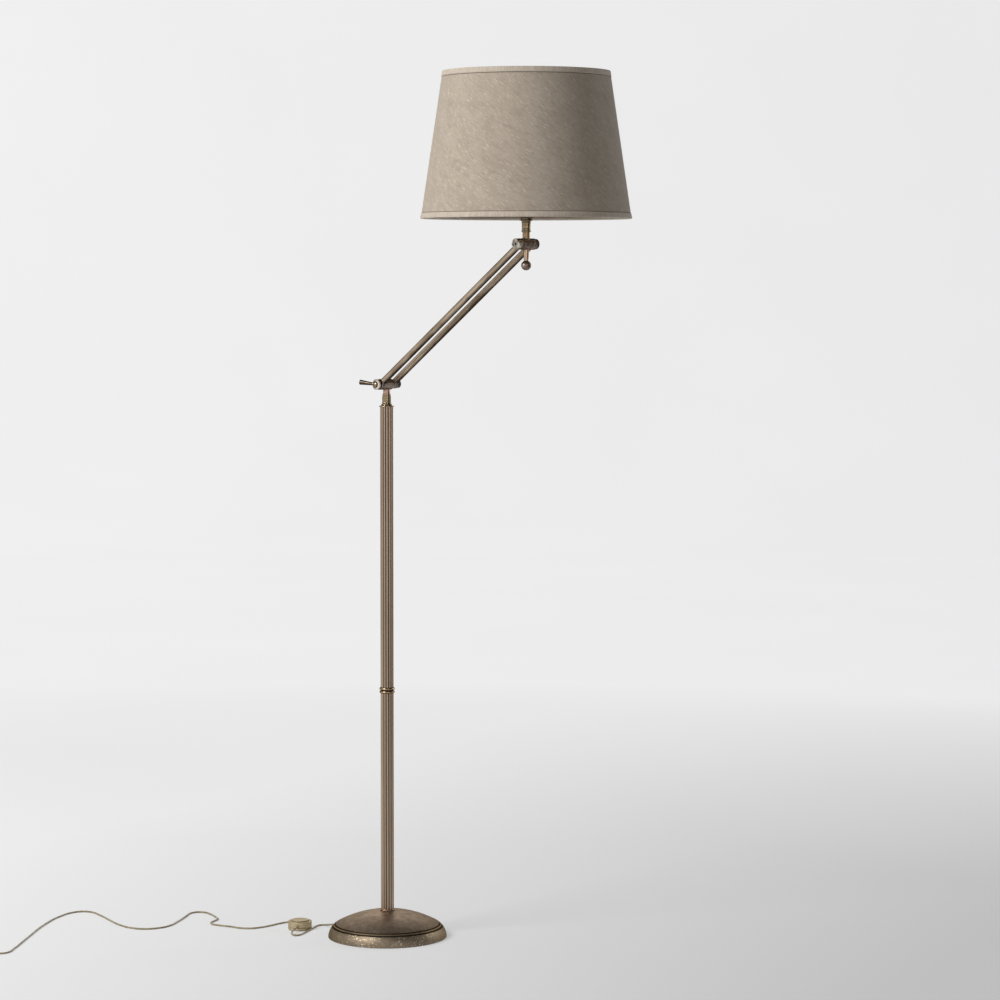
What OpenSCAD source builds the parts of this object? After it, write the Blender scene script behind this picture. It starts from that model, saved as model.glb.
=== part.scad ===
// Bridge floor lamp: a weighted domed base, a reeded column, a two-tube arm with a clamp
// joint at each end, and a tapered linen shade. Millimetres, +Z up, origin at the centre of
// the base on the floor. The arm reaches out along +X and its two pivots lie along Y.

/* [Base] */
// Diameter of the domed base
base_d = 250; // [220:1:300]
// Height of the dome
base_h = 57; // [48:1:70]
// Radius of the rounded shoulder at the rim
base_shoulder_r = 34; // [28:1:40]
// Wall of the spun brass dome
base_wall = 2; // [1.6:0.1:2.4]
// Thickness of the felt under the base
felt_t = 2; // [1:0.5:4]
// Thickness of the cast iron ballast disc
ballast_t = 20; // [14:1:26]
// Radius of the outer of the two turned grooves
groove_r = 115.5; // [90:0.5:117]
// Distance between the two grooves
groove_pitch = 4.8; // [3:0.1:6]
// Radius of each groove's round bottom
groove_tool_r = 1.2; // [0.6:0.1:1.3]

/* [Column] */
// Diameter of the column over its reeds
column_d = 27.6; // [26:0.2:34]
// Number of reeds round the column
reeds = 14; // [12:1:18]
// Radius of one reed
reed_r = 2.5; // [2:0.1:2.7]
// Bore of the column tubes
column_bore = 21; // [16:0.5:22]
// Length of the lower column tube
lower_len = 457.5; // [350:0.5:560]
// Length of the upper column tube
upper_len = 589; // [450:1:720]
// Height of the ring under the column
foot_ring_h = 3.4; // [3:0.2:8]
// Visible height of the coupler between the tubes
coupler_h = 13; // [12:0.5:20]
// Diameter of the threaded pipe that ties base and column together
tie_d = 10; // [9:0.5:13]
// Bore of the threaded pipe
tie_bore = 6.5; // [5.5:0.1:7]

/* [Joints] */
// Diameter of both knuckle barrels
barrel_d = 23; // [22:0.2:28]
// Width of both knuckle barrels
barrel_w = 23.4; // [20:0.2:30]
// Thickness of one arm eye
eye_t = 10; // [8:0.5:11]
// Diameter of the pivot bolts
bolt_d = 8; // [7:0.5:9]
// Height of the lower pivot above the top of the upper column tube
pivot_rise = 47; // [46:0.5:56]
// Length of the clamp lever from its bolt
lever_len = 40.5; // [34:0.5:56]
// Outward lean of the clamp lever
lever_lean = 15; // [10:1:20]
// Upward angle of the clamp lever
lever_rise = 6; // [0:1:15]
// Diameter of the ball under the upper knuckle
ball_d = 19.8; // [15:0.2:19.8]
// Drop from the upper pivot to the centre of that ball
ball_drop = 42.3; // [38:0.5:60]

/* [Arm] */
// Distance from the lower pivot to the upper one
arm_len = 500; // [380:1:620]
// Angle of the arm above the horizontal
arm_angle = 35.3; // [10:0.1:60]
// Diameter of one arm tube
tube_d = 13.6; // [13:0.2:15]
// Wall of the arm tubes
tube_wall = 1; // [0.8:0.1:1.4]

/* [Shade] */
// Bottom diameter of the shade
shade_bottom_d = 419; // [360:1:480]
// Top diameter of the shade
shade_top_d = 330; // [280:1:400]
// Height of the shade
shade_h = 290; // [240:1:340]
// Thickness of the laminated linen
shade_t = 1.2; // [0.8:0.1:2]
// Rise from the upper pivot to the shade's lower edge
shade_rise = 51; // [49:0.5:60]
// Width of the tape round both edges
trim_w = 10; // [8:0.5:14]
// Diameter of the frame wire
wire_d = 4; // [3:0.5:5]

/* [Lampholder] */
// Diameter of the lampholder's shell
holder_d = 39; // [36:0.5:44]
// Diameter of the bulb
bulb_d = 60; // [45:1:70]
// Height of the bulb above its metal cap
bulb_h = 84; // [74:1:92]

/* [Foot switch] */
// Diameter of the foot switch
switch_d = 50; // [46:1:60]
// Height of the foot switch without its button
switch_h = 18.5; // [16:0.5:22]
// Diameter of the button
button_d = 38; // [30:1:40]
// Travel of the button
button_travel = 3; // [2:0.5:4]

/* [Cord] */
// Diameter of the cord
cord_d = 4; // [3.6:0.1:4.4]
// Mean diameter of the tied coil
coil_d = 47; // [44:1:60]
// Distance between neighbouring turns of the coil
coil_pitch = 4.6; // [4.5:0.1:5]
// Thickness of the plug
plug_t = 14.8; // [14:0.1:16]

/* [Hidden] */
$fn = 48;
fit = 0.05;        // running and push fits, on the radius
seat = 0.3;        // clearance between curved pieces of different bodies
cord_r = cord_d/2;

// Base: two tangent arcs make the dome's outline
dome_top_r = (pow(base_d/2, 2) + pow(base_h, 2) - base_d*base_shoulder_r)
    /(2*(base_h - base_shoulder_r));
rim_z = 1;                                   // the brass rim clears the floor, the felt stands on it
ballast_r = base_d/2 - 14;
ballast_z = felt_t;
boss_r = 30;                                 // iron boss that carries the clamping nut
pocket_r = 20;
pocket_top = 34;
channel_w = 7;                               // channel for the wire under the ballast
channel_top = 15;
nut_h = 6;
nut_r = 9.8;
washer_t = 2;
washer_r = 14;
tie_z = 24;                                  // bottom end of the threaded pipe
grommet_z = 11;                              // the cord's height where it leaves the base
grommet_a = 193;                             // and its direction, seen from above
function shoulder_z(r) = sqrt(pow(base_shoulder_r, 2) - pow(r - base_d/2 + base_shoulder_r, 2));
function dome_z(r) = base_h - dome_top_r + sqrt(pow(dome_top_r, 2) - r*r);
groove_inner_r = groove_r - groove_pitch;
foot_ring_r = column_d/2 + 1.7;
foot_seat_z = dome_z(foot_ring_r);           // flat seat on top of the dome
boss_top = foot_seat_z - base_wall - 0.8;
grommet_r = 4.2;
grommet_in = base_d/2 - 7;
grommet_out = base_d/2 + 4.7;

// Column heights
lower_z = foot_seat_z + foot_ring_h;
coupler_z = lower_z + lower_len;
upper_z = coupler_z + coupler_h;
cap_z = upper_z + upper_len;
pivot_z = cap_z + pivot_rise;
plug_len = 14;                               // how far ring and coupler reach into the tubes
cap_plug_len = 24;                           // and how far the column cap does
plug_r = column_bore/2 - fit;
tie_r = tie_d/2;
reed_pitch_r = column_d/2 - reed_r;

// Column cap and swivel
cap_top = pivot_rise - 23;                   // height of the cap above the column
spigot_r = 6.4;
spigot_end = -2;                             // spigot's lower end, from the top of the column
neck_r = 7.1;
neck_collar_r = 8.8;                         // collar of the knuckle's neck, on top of the cap
neck_collar_h = 2.8;
pocket_floor = -14;                          // pocket in the cap for the swivel nut
pocket_roof = 4;
cap_pocket_r = 9.2;
swivel_nut_h = 5;
swivel_nut_r = 8.6;
spigot_bore = 2.8;

// Joints
barrel_r = barrel_d/2;
bolt_r = bolt_d/2;
tube_r = tube_d/2;
washer_gap = 0.3;
eye_y = barrel_w/2 + washer_gap;             // inner face of each eye
eye_out = eye_y + eye_t;                     // outer face of each eye
tube_y = eye_y + eye_t/2;
eye_r = barrel_r - 0.2;
rear_eye_r = barrel_r - 2;                   // the rear eye of the lower joint is smaller
rear_boss = 3.3;                             // and stands out farther
rear_out = eye_out + rear_boss;
screw_r = 3.2;                               // plug screws in the ends of the eyes
hub_in = eye_out + 2.3;                      // lever hub on its washer
hub_t = 6.7;
bolt_front = hub_in + hub_t;
hub_recess = 1.2;
lever_y = eye_out + 5.6;                     // axis of the lever in its hub
lever_end_r = 5.3;
cap_disc_t = 8.8;                            // cup washer of the upper bolt
tube_start = barrel_r + 0.8;                 // the tubes begin just clear of the barrels
spigot_in = 18;                              // how far each eye's spigot reaches into its tube
chamber_r = 8.6;                             // wire chamber inside the barrels
chamber_w = 15;
wire_r = 1.6;

// Upper pivot and head
top_x = arm_len*cos(arm_angle);
top_z = pivot_z + arm_len*sin(arm_angle);
post_r = 7.3;
post_top = 24;                               // top of the post above the upper pivot
collar_h = 4;
cup_z = post_top + collar_h;                 // bottom of the lampholder cup above the pivot
lip_z = 45;
flare_z = 58;                                // top of the cup, inside the shade
holder_r = holder_d/2;
holder_h = 50;
shelf_z = flare_z + 18;                      // shelf on which the shade's collar sits
shelf_r = holder_r + 3;
carrier_t = 2;
carrier_r = holder_r + 7.5;
ring_nut_h = 7;
bulb_cap_r = 13;
bulb_z = flare_z + holder_h + 2;             // bottom of the glass above the pivot
shade_z = top_z + shade_rise;
bead_h = 3.2;                                // centre of each frame wire from the shade's edge
function shade_r(h) = (shade_bottom_d + (shade_top_d - shade_bottom_d)*h/shade_h)/2;

// Foot switch
switch_x = -187;
switch_y = -81;
switch_in_a = -54;                           // direction of the cord's inlet, its outlet is opposite
split_z = 7;
button_rise = 3;

// Cord routes on the floor, from the base to the switch and from the switch to the coil
LEAD = [
    [-126.4, -29.2, 11], [-135, -31, 10.5], [-147, -29.5, 8], [-160, -25, 5], [-171, -22.5, 3],
    [-179, -26, 2.2], [-180, -37, 2], [-173, -50, 2], [-160, -74, 2], [-149, -96, 2],
    [-140, -115, 2], [-135, -127, 2], [-137, -136, 2], [-145, -139, 3], [-154, -133, 5],
    [-161, -122, 8], [-166.4, -109.3, 10], [-172.3, -101.2, 10]
];
MAIN = [
    [-201.7, -60.8, 10], [-207, -53.5, 10], [-217, -46, 8.5], [-231, -44, 6], [-244, -51, 4],
    [-253, -64, 2.5], [-255, -80, 2], [-252, -106, 2], [-252, -135, 2], [-261, -159, 2],
    [-279, -171, 2], [-302, -175, 2], [-328, -183, 2], [-349, -187, 2], [-364, -180, 2],
    [-374, -162, 2], [-385, -143, 2], [-405, -133, 2], [-436, -121, 2], [-459, -117, 2],
    [-474, -125, 2], [-476, -142, 2], [-459, -169, 2], [-425, -221, 2], [-404, -260, 2],
    [-400, -290, 2], [-414, -321, 2], [-442, -335, 2], [-480, -334, 2], [-540, -317, 2],
    [-600, -298, 2], [-638, -291, 2], [-657, -300, 2], [-663, -323, 2], [-652, -361, 2],
    [-605, -440, 2], [-519, -550, 2], [-446, -641, 2], [-428, -667, 2], [-427, -683, 2],
    [-437, -694, 2.4]
];

// Coil of the length that the room would hide, and the plug beside it
coil_x = -488;
coil_y = -697;
coil_start_a = -45;
coil_turns = 6.25;
coil_layer = cord_d + 0.6;
tie_t = 0.8;
coil_z = cord_r + tie_t + 0.2;
coil_half = coil_turns/2;
coil_out_r = coil_d/2 + coil_pitch*coil_half/2;
coil_steps = 150;
tail_len = 24;
function coil_r(t) = coil_out_r - coil_pitch*min(t, coil_turns - t);
function climb(t) = min(max((t - coil_half)/0.5 + 0.5, 0), 1);
function coil_p(t) = let (a = coil_start_a - 360*t) [
    coil_x + coil_r(t)*cos(a), coil_y + coil_r(t)*sin(a), coil_z + coil_layer*climb(t)];
coil_end_a = coil_start_a - 360*coil_turns;
COIL = [for (i = [0:coil_steps]) coil_p(i*coil_turns/coil_steps)];
coil_in_dir = [sin(coil_start_a), -cos(coil_start_a), 0];
coil_out_dir = [sin(coil_end_a), -cos(coil_end_a), 0];
coil_start = COIL[0] - cord_d*coil_in_dir;
coil_end = COIL[coil_steps] + tail_len*coil_out_dir;

// Colours
BRONZE = [0.36, 0.31, 0.25];
GOLD = [0.50, 0.42, 0.30];
PATINA = [0.40, 0.36, 0.29];
COPPER = [0.55, 0.40, 0.30];
BLACK = [0.10, 0.09, 0.09];
STEEL = [0.62, 0.62, 0.62];
LINEN = [0.66, 0.60, 0.52];
TAPE = [0.72, 0.66, 0.58];
CORD = [0.62, 0.56, 0.44];
OLIVE = [0.60, 0.54, 0.42];

// Shared shapes

// A cylinder along Y from y0 to y1
module along_y(y0, y1, r) translate([0, y1, 0]) rotate([90, 0, 0]) cylinder(r = r, h = y1 - y0);

// A cylinder along X from x0 to x1
module along_x(x0, x1, r) translate([x0, 0, 0]) rotate([0, 90, 0]) cylinder(r = r, h = x1 - x0);

// A ring turned from a rectangle, with a small chamfer on its outer edges
module turned_ring(r_in, r_out, z0, z1, c = 0.4) rotate_extrude() polygon([
    [r_in, z0], [r_out - c, z0], [r_out, z0 + c], [r_out, z1 - c], [r_out - c, z1], [r_in, z1]]);

// Half outline of a round head: straight up to h, with a low crown on top and a small chamfer
module domed(r, h, crown) polygon(concat([[0, 0], [r, 0], [r, h]],
    [for (i = [0:6]) let (x = (r - 0.4)*(1 - i/6)) [x, h + 0.4 + (crown - 0.4)*(1 - pow(x/(r - 0.4), 2))]]));

// A chamfered disc along Y, solid, from y0 to y1
module disc_y(y0, y1, r, c = 0.6) translate([0, y1, 0]) rotate([90, 0, 0]) rotate_extrude() polygon([
    [0, 0], [r - c, 0], [r, c], [r, y1 - y0 - c], [r - c, y1 - y0], [0, y1 - y0]]);

// A tube swept along a list of points, its end faces square to the first and last direction
function unit(v) = v/norm(v);
function heading(p, i, first, last) = i == 0 ? first : i == len(p) - 1 ? last
    : unit(unit(p[i] - p[i - 1]) + unit(p[i + 1] - p[i]));
function side_of(h) = unit(cross(h, abs(h[2]) > 0.9 ? [1, 0, 0] : [0, 0, 1]));
module swept(p, r, sides, first, last) {
    n = len(p);
    rings = [for (i = [0:n - 1]) let (h = heading(p, i, first, last), u = side_of(h), v = cross(u, h))
        for (k = [0:sides - 1]) let (a = 360*(k + 0.5)/sides) p[i] + r*(cos(a)*u + sin(a)*v)];
    skin = [for (i = [0:n - 2], k = [0:sides - 1]) let (m = (k + 1)%sides, a = i*sides, b = a + sides)
        each [[a + k, b + k, b + m], [a + k, b + m, a + m]]];
    caps = [for (k = [1:sides - 2]) each [[0, k, k + 1],
        [(n - 1)*sides, (n - 1)*sides + k + 1, (n - 1)*sides + k]]];
    polyhedron(rings, concat(skin, caps));
}

// Everything that turns with the arm is drawn with the lower pivot at the origin and +X along it
module arm_frame() translate([0, 0, pivot_z]) rotate([0, -arm_angle, 0]) children();
module lower_joint() translate([0, 0, pivot_z]) children();
module upper_joint() translate([top_x, 0, top_z]) children();
module shade_frame() translate([top_x, 0, shade_z]) children();

// Base

module dome(shrink) {
    // Half outline of the dome: a wide arc on top and a tight one at the shoulder
    knee_x = base_d/2 - base_shoulder_r;
    knee = knee_x/(dome_top_r - base_shoulder_r);   // sine of the angle where the arcs meet
    reach = 2*base_d;
    intersection() {
        square([reach, reach]);
        union() {
            intersection() {
                translate([0, base_h - dome_top_r]) circle(r = dome_top_r - shrink, $fn = 200);
                polygon([[0, base_h - dome_top_r], [0, reach],
                    [reach*knee, base_h - dome_top_r + reach*sqrt(1 - knee*knee)]]);
            }
            translate([knee_x, 0]) circle(r = base_shoulder_r - shrink, $fn = 100);
            polygon([[0, 0], [knee_x, 0], [knee_x + 1, 1], [0, 1]]);
            polygon([[0, 0], [knee_x, 0],
                [knee_x + 0.9*(base_shoulder_r - shrink)*knee, 0.9*(base_shoulder_r - shrink)*sqrt(1 - knee*knee)],
                [0, base_h/2]]);
        }
    }
}

module groove(r) translate([r, shoulder_z(r)]) circle(r = groove_tool_r, $fn = 24);

module base_shell() color(BRONZE) difference() {
    rotate_extrude($fn = 120) difference() {
        dome(0);
        dome(base_wall);
        square([base_d, rim_z]);
        translate([0, foot_seat_z]) square([foot_ring_r + 0.2, base_h]);
        square([tie_r + fit, base_h]);
        groove(groove_r);
        groove(groove_inner_r);
    }
    rotate([0, 0, grommet_a]) translate([0, 0, grommet_z]) along_x(grommet_in, base_d, grommet_r + fit);
}

module base_ballast() color("dimgray") difference() {
    rotate_extrude() polygon([[tie_r + fit, pocket_top], [tie_r + fit, boss_top], [boss_r - 8, boss_top],
        [boss_r, boss_top - 8], [boss_r + 4, ballast_z + ballast_t + 4], [boss_r + 12, ballast_z + ballast_t],
        [ballast_r - 6, ballast_z + ballast_t], [ballast_r, ballast_z + ballast_t - 6], [ballast_r, ballast_z],
        [pocket_r, ballast_z], [pocket_r, pocket_top]]);
    rotate([0, 0, grommet_a]) translate([pocket_r - 3, -channel_w/2, ballast_z - 1])
        cube([base_d, channel_w, channel_top - ballast_z + 1]);
}

module base_felt() color([0.14, 0.13, 0.12]) cylinder(r = base_d/2 - base_wall - 1, h = felt_t, $fn = 96);

// Washer and hexagon nut that clamp the ballast, the dome and the column together
module base_nut() color(STEEL) difference() {
    union() {
        translate([0, 0, pocket_top - washer_t]) cylinder(r = washer_r, h = washer_t);
        translate([0, 0, pocket_top - washer_t - nut_h]) cylinder(r = nut_r, h = nut_h, $fn = 6);
    }
    translate([0, 0, ballast_z]) cylinder(r = tie_r + fit, h = base_h);
}

module tie_pipe() color(STEEL) translate([0, 0, tie_z]) difference() {
    cylinder(r = tie_r, h = cap_z + pocket_floor - 1 - tie_z);
    translate([0, 0, -1]) cylinder(r = tie_bore/2, h = cap_z);
}

module cord_grommet() color(BLACK) rotate([0, 0, grommet_a]) translate([0, 0, grommet_z])
    rotate([0, 90, 0]) difference() {
        union() {
            translate([0, 0, grommet_in]) cylinder(r = grommet_r, h = base_d/2 - grommet_in);
            translate([0, 0, base_d/2 - 0.5]) cylinder(r1 = 5, r2 = 3, h = grommet_out - base_d/2 + 0.5);
        }
        translate([0, 0, grommet_in - 1]) cylinder(r = cord_r + fit, h = 20);
    }

// Wire from the grommet, along the channel and up the threaded pipe into the lower knuckle
module column_wire() color(CORD) {
    out = [cos(grommet_a), sin(grommet_a), 0];
    bend = [for (p = [[grommet_out, grommet_z], [60, grommet_z], [26, grommet_z], [15, 12], [6, 17], [1, tie_z]])
        p[0]*out + [0, 0, p[1]]];
    up = [for (z = [tie_z + 4, pivot_z/2, pivot_z - barrel_r + 4]) [0, 0, z]];
    swept(concat(bend, up), wire_r, 8, -out, [0, 0, 1]);
}

// Column

// Reeded tube: round reeds side by side on a core, with a plain bore
module reeded_tube(z0, length) translate([0, 0, z0]) linear_extrude(length) difference() {
    union() {
        circle(r = reed_pitch_r + 0.35*reed_r);
        for (i = [0:reeds - 1]) rotate((i + 0.5)*360/reeds) translate([reed_pitch_r, 0])
            circle(r = reed_r, $fn = 24);
    }
    circle(r = column_bore/2);
}

// Round bead over a narrow groove, with a plug into the lower tube
module column_foot_ring() color(COPPER) rotate_extrude() difference() {
    bead = foot_ring_h/2 - 0.3;
    union() {
        translate([0, foot_seat_z]) square([foot_ring_r - 1, foot_ring_h]);
        translate([foot_ring_r - bead, foot_seat_z + foot_ring_h - bead - 0.1]) circle(r = bead, $fn = 24);
        translate([0, lower_z - 1]) square([plug_r, plug_len + 1]);
    }
    square([tie_r + 1, lower_z + 2*plug_len]);
}

module column_lower() color(GOLD) reeded_tube(lower_z, lower_len);

// Two beads with a groove between them, and a plug into each tube
module column_coupler() color(GOLD) translate([0, 0, coupler_z]) rotate_extrude() difference() {
    bead = coupler_h/4 - 0.45;
    union() {
        translate([0, -plug_len]) square([plug_r, coupler_h + 2*plug_len]);
        square([column_d/2 - 2, coupler_h]);
        for (z = [bead + 0.3, coupler_h - bead - 0.3]) translate([column_d/2 + 2.2 - bead, z])
            circle(r = bead, $fn = 24);
    }
    translate([0, -2*plug_len]) square([tie_r + 1, coupler_h + 4*plug_len]);
}

module column_upper() color(GOLD) reeded_tube(upper_z, upper_len);

// Turned piece that closes the column and carries the swivel: a rim, a cove, two rings and a plain
// neck with a groove below and above it
module column_cap() color(GOLD) translate([0, 0, cap_z]) rotate_extrude() difference() {
    rim_r = column_d/2 + 1.2;
    ring_r = column_d/2 - 3.1;
    union() {
        translate([0, -cap_plug_len]) square([plug_r, cap_plug_len + 1]);
        square([rim_r, 2]);
        translate([rim_r, 1]) circle(r = 0.97, $fn = 24);
        polygon([[0, 1], [rim_r - 2.2, 1], [rim_r - 2.2, 2.2], [ring_r + 0.3, 2.8], [ring_r, 3.4],
            [ring_r, 5.6], [8.9, 6.2], [8.9, 7.4], [9.1, 7.8], [9.1, 10.9], [8.5, 11.1], [8.5, 11.6], [9.1, 11.8],
            [9.1, cap_top - 2.2], [8.2, cap_top - 2], [8.2, cap_top], [0, cap_top]]);
        translate([ring_r, 4.8]) circle(r = 0.77, $fn = 24);
        translate([9, 8.65]) circle(r = 0.75, $fn = 24);
    }
    translate([0, pocket_floor - 40]) square([tie_r + fit, 60]);
    translate([0, pocket_floor]) square([cap_pocket_r, pocket_roof - pocket_floor]);
    square([spigot_r + fit, cap_top + 1]);
    translate([0, cap_top]) square([20, 5]);
}

// Lower joint

module lower_knuckle() color(PATINA) lower_joint() difference() {
    union() {
        disc_y(-barrel_w/2, barrel_w/2, barrel_r, 0.8);
        translate([0, 0, cap_top - pivot_rise]) cylinder(r = neck_r, h = pivot_rise - cap_top);
        translate([0, 0, cap_top - pivot_rise]) rotate_extrude() polygon([[0, 0], [neck_collar_r - 0.5, 0],
            [neck_collar_r, 0.5], [neck_collar_r, neck_collar_h - 0.7], [neck_collar_r - 0.7, neck_collar_h],
            [0, neck_collar_h]]);
        translate([0, 0, spigot_end - pivot_rise]) cylinder(r = spigot_r, h = cap_top - spigot_end + 1);
    }
    along_y(-barrel_w, barrel_w, bolt_r + 1.55);
    along_y(-chamber_w/2, chamber_w/2, chamber_r);
    translate([0, 0, spigot_end - pivot_rise - 1]) cylinder(r = spigot_bore, h = pivot_rise);
}

module swivel_nut() color(STEEL) translate([0, 0, cap_z + pocket_roof - seat - swivel_nut_h]) difference() {
    cylinder(r = swivel_nut_r, h = swivel_nut_h, $fn = 6);
    translate([0, 0, -1]) cylinder(r = spigot_r + fit, h = swivel_nut_h + 2);
}

// Bushes in both ends of both barrels, on which the bolts turn
module bush_pair() for (s = [-1, 1]) scale([1, s, 1]) difference() {
    along_y(chamber_w/2, barrel_w/2, bolt_r + 1.5);
    along_y(0, barrel_w, bolt_r + fit);
}

module lower_bushes() color("goldenrod") lower_joint() bush_pair();
module upper_bushes() color("goldenrod") upper_joint() bush_pair();

// Arm

// One eye: a disc on the bolt, a neck and a spigot into the tube, drawn with the tube along +X
module eye(r, out) difference() {
    union() {
        disc_y(eye_y, out, r);
        intersection() {
            translate([0, tube_y, 0]) along_x(0, tube_start, tube_r);
            translate([0, eye_y, -barrel_r]) cube([tube_start, eye_t, barrel_d]);
        }
        translate([0, tube_y, 0]) along_x(tube_start - 1, tube_start + spigot_in, tube_r - tube_wall - fit);
    }
    along_y(0, 2*eye_out, bolt_r + fit);
    translate([0, tube_y, 0]) along_x(0, 2*arm_len, wire_r + 0.6);
    translate([0, tube_y, 0]) along_x(-barrel_d, 0, screw_r + fit);
}

module eye_screw(r) translate([0, tube_y, 0]) difference() {
    along_x(-r + 0.6, -bolt_r - 0.3, screw_r);
    translate([-r, 0, 0]) rotate([0, 90, 0]) cylinder(r = 1.7, h = 3.4, $fn = 6);
}

module arm_tube() difference() {
    along_x(tube_start, arm_len - tube_start, tube_r);
    along_x(0, arm_len, tube_r - tube_wall);
}

module at_upper() translate([arm_len, 0, 0]) rotate([0, 0, 180]) children();

module arm_tube_front() color(PATINA) arm_frame() translate([0, -tube_y, 0]) arm_tube();
module arm_tube_rear() color(PATINA) arm_frame() translate([0, tube_y, 0]) arm_tube();
module lower_eye_front() color(BRONZE) arm_frame() scale([1, -1, 1]) eye(eye_r, eye_out);
module lower_eye_rear() color(BRONZE) arm_frame() eye(rear_eye_r, rear_out);
module upper_eye_front() color(BRONZE) arm_frame() at_upper() eye(eye_r, eye_out);
module upper_eye_rear() color(BRONZE) arm_frame() at_upper() scale([1, -1, 1]) eye(eye_r, eye_out);
module eye_screws() color(GOLD) arm_frame() {
    eye_screw(rear_eye_r);
    scale([1, -1, 1]) eye_screw(eye_r);
    for (s = [-1, 1]) at_upper() scale([1, s, 1]) eye_screw(eye_r);
}

// Bolt with a domed head behind the rear eye; its front end carries the lever and its button
module lower_bolt() color(BLACK) lower_joint() {
    along_y(-bolt_front - 1.5, rear_out + 1, bolt_r);
    translate([0, rear_out, 0]) rotate([-90, 0, 0]) rotate_extrude() domed(8.8, 7.9, 1.4);
}

module lever_washer() color(STEEL) lower_joint() difference() {
    along_y(-eye_out - 2, -eye_out, 9);
    along_y(-2*eye_out, 0, bolt_r + fit);
}

module lever_button() color(GOLD) lower_joint() translate([0, -bolt_front - seat, 0]) rotate([90, 0, 0])
    rotate_extrude() difference() {
        domed(4.9, 1.4, 2.2);
        square([bolt_r + fit, 1.2]);
    }

// Hub and tapered handle of the clamp lever
module clamp_lever() color(GOLD) lower_joint() difference() {
    union() {
        disc_y(-bolt_front, -hub_in, 10.9, 1);
        translate([0, -lever_y, 0]) rotate([0, lever_rise, 0]) rotate([0, 0, lever_lean])
            rotate([0, -90, 0]) {
                translate([0, 0, 6]) cylinder(r1 = 2.8, r2 = lever_end_r, h = lever_len - 6);
                translate([0, 0, lever_len - 0.1]) cylinder(r1 = lever_end_r, r2 = lever_end_r - 0.6, h = 0.7);
            }
    }
    along_y(-2*bolt_front, 0, bolt_r + 0.1);
    along_y(-2*bolt_front, hub_recess - bolt_front, 6.6);
}

module upper_bolt() color(STEEL) upper_joint() difference() {
    union() {
        along_y(-eye_out - cap_disc_t + 4, eye_out + 3.4, bolt_r);
        along_y(-eye_out - cap_disc_t + 0.8, -eye_out - cap_disc_t + 4.8, 5.4);
    }
    translate([0, -eye_out - cap_disc_t + 3.2, 0]) rotate([90, 0, 0]) cylinder(r = 2.9, h = 4, $fn = 6);
}

// Cup washer round the head of the upper bolt
module upper_cap_disc() color(PATINA) upper_joint() difference() {
    disc_y(-eye_out - cap_disc_t, -eye_out, 11, 1);
    along_y(-2*eye_out, 0, bolt_r + fit);
    along_y(-2*eye_out, -eye_out - cap_disc_t + 4.9, 5.6);
    along_y(-2*eye_out, -eye_out - cap_disc_t + 1, 7);
}

module upper_cap_nut() color(BLACK) upper_joint() translate([0, eye_out, 0]) rotate([-90, 0, 0])
    rotate_extrude() difference() {
        domed(10.4, 5.6, 1.5);
        square([bolt_r + fit, 3.5]);
    }

// Wire through the rear tube, from eye to eye
module arm_wire() color(CORD) arm_frame() translate([0, tube_y, 0])
    along_x(bolt_r + 1, arm_len - bolt_r - 1, wire_r);

// Head

module upper_knuckle() color(PATINA) upper_joint() difference() {
    union() {
        disc_y(-barrel_w/2, barrel_w/2, barrel_r, 0.8);
        cylinder(r = post_r, h = post_top);
        cylinder(r = post_r - 2, h = cup_z + 8);
        translate([0, 0, -ball_drop + ball_d/2 - 0.4]) cylinder(r1 = 4.6, r2 = 7, h = ball_drop - ball_d/2 + 0.4);
    }
    along_y(-barrel_w, barrel_w, bolt_r + 1.55);
    along_y(-chamber_w/2, chamber_w/2, chamber_r);
    cylinder(r = wire_r + 0.9, h = 2*post_top + 20);
    translate([0, 0, -ball_drop]) cylinder(r = 2.5 + fit, h = ball_d/2 + 8);
}

module ball_finial() color(BRONZE) upper_joint() {
    translate([0, 0, -ball_drop]) difference() {
        sphere(d = ball_d, $fn = 64);
        translate([0, 0, ball_d/2 - 0.4]) cylinder(r = 5.2, h = 4);
    }
    translate([0, 0, -ball_drop]) cylinder(r = 2.5, h = ball_d/2 + 6);
}

module stem_collar() color(GOLD) upper_joint() translate([0, 0, post_top]) rotate_extrude() difference() {
    union() {
        polygon([[0, 0], [8.4, 0], [9, 0.4], [9, 2.7], [8, 3], [8, collar_h], [0, collar_h]]);
        translate([9, 1.55]) circle(r = 0.97, $fn = 24);
    }
    square([post_r - 2 + fit, collar_h]);
}

// Turned cup with a lip, then a wider flare that carries the lampholder
module holder_cup() color(GOLD) upper_joint() rotate_extrude() difference() {
    union() {
        polygon([[0, cup_z], [8, cup_z], [8, cup_z + 3.4], [8.65, cup_z + 3.8], [8.65, lip_z - 1.4],
            [8.3, lip_z - 1.1], [8.3, lip_z - 0.3], [9.5, lip_z], [9.5, lip_z + 1.2], [11.5, lip_z + 1.4], [11.5, lip_z + 3.8],
            [10.6, lip_z + 4.3], [11, lip_z + 6], [13.5, lip_z + 8.4], [16, lip_z + 9.8],
            [holder_r - 1.5, flare_z - 1.4], [holder_r - 1.5, flare_z], [0, flare_z]]);
        translate([8.35, cup_z + 1.6]) circle(r = 0.85, $fn = 24);
        translate([8.8, lip_z - 2.75]) circle(r = 0.8, $fn = 24);
        translate([9.5, lip_z + 0.55]) circle(r = 0.68, $fn = 24);
        translate([11.6, lip_z + 2.6]) circle(r = 1.3, $fn = 24);
    }
    square([post_r - 2 + fit, flare_z + 1]);
    translate([0, cup_z + 8]) square([6.5, flare_z]);
}

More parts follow.
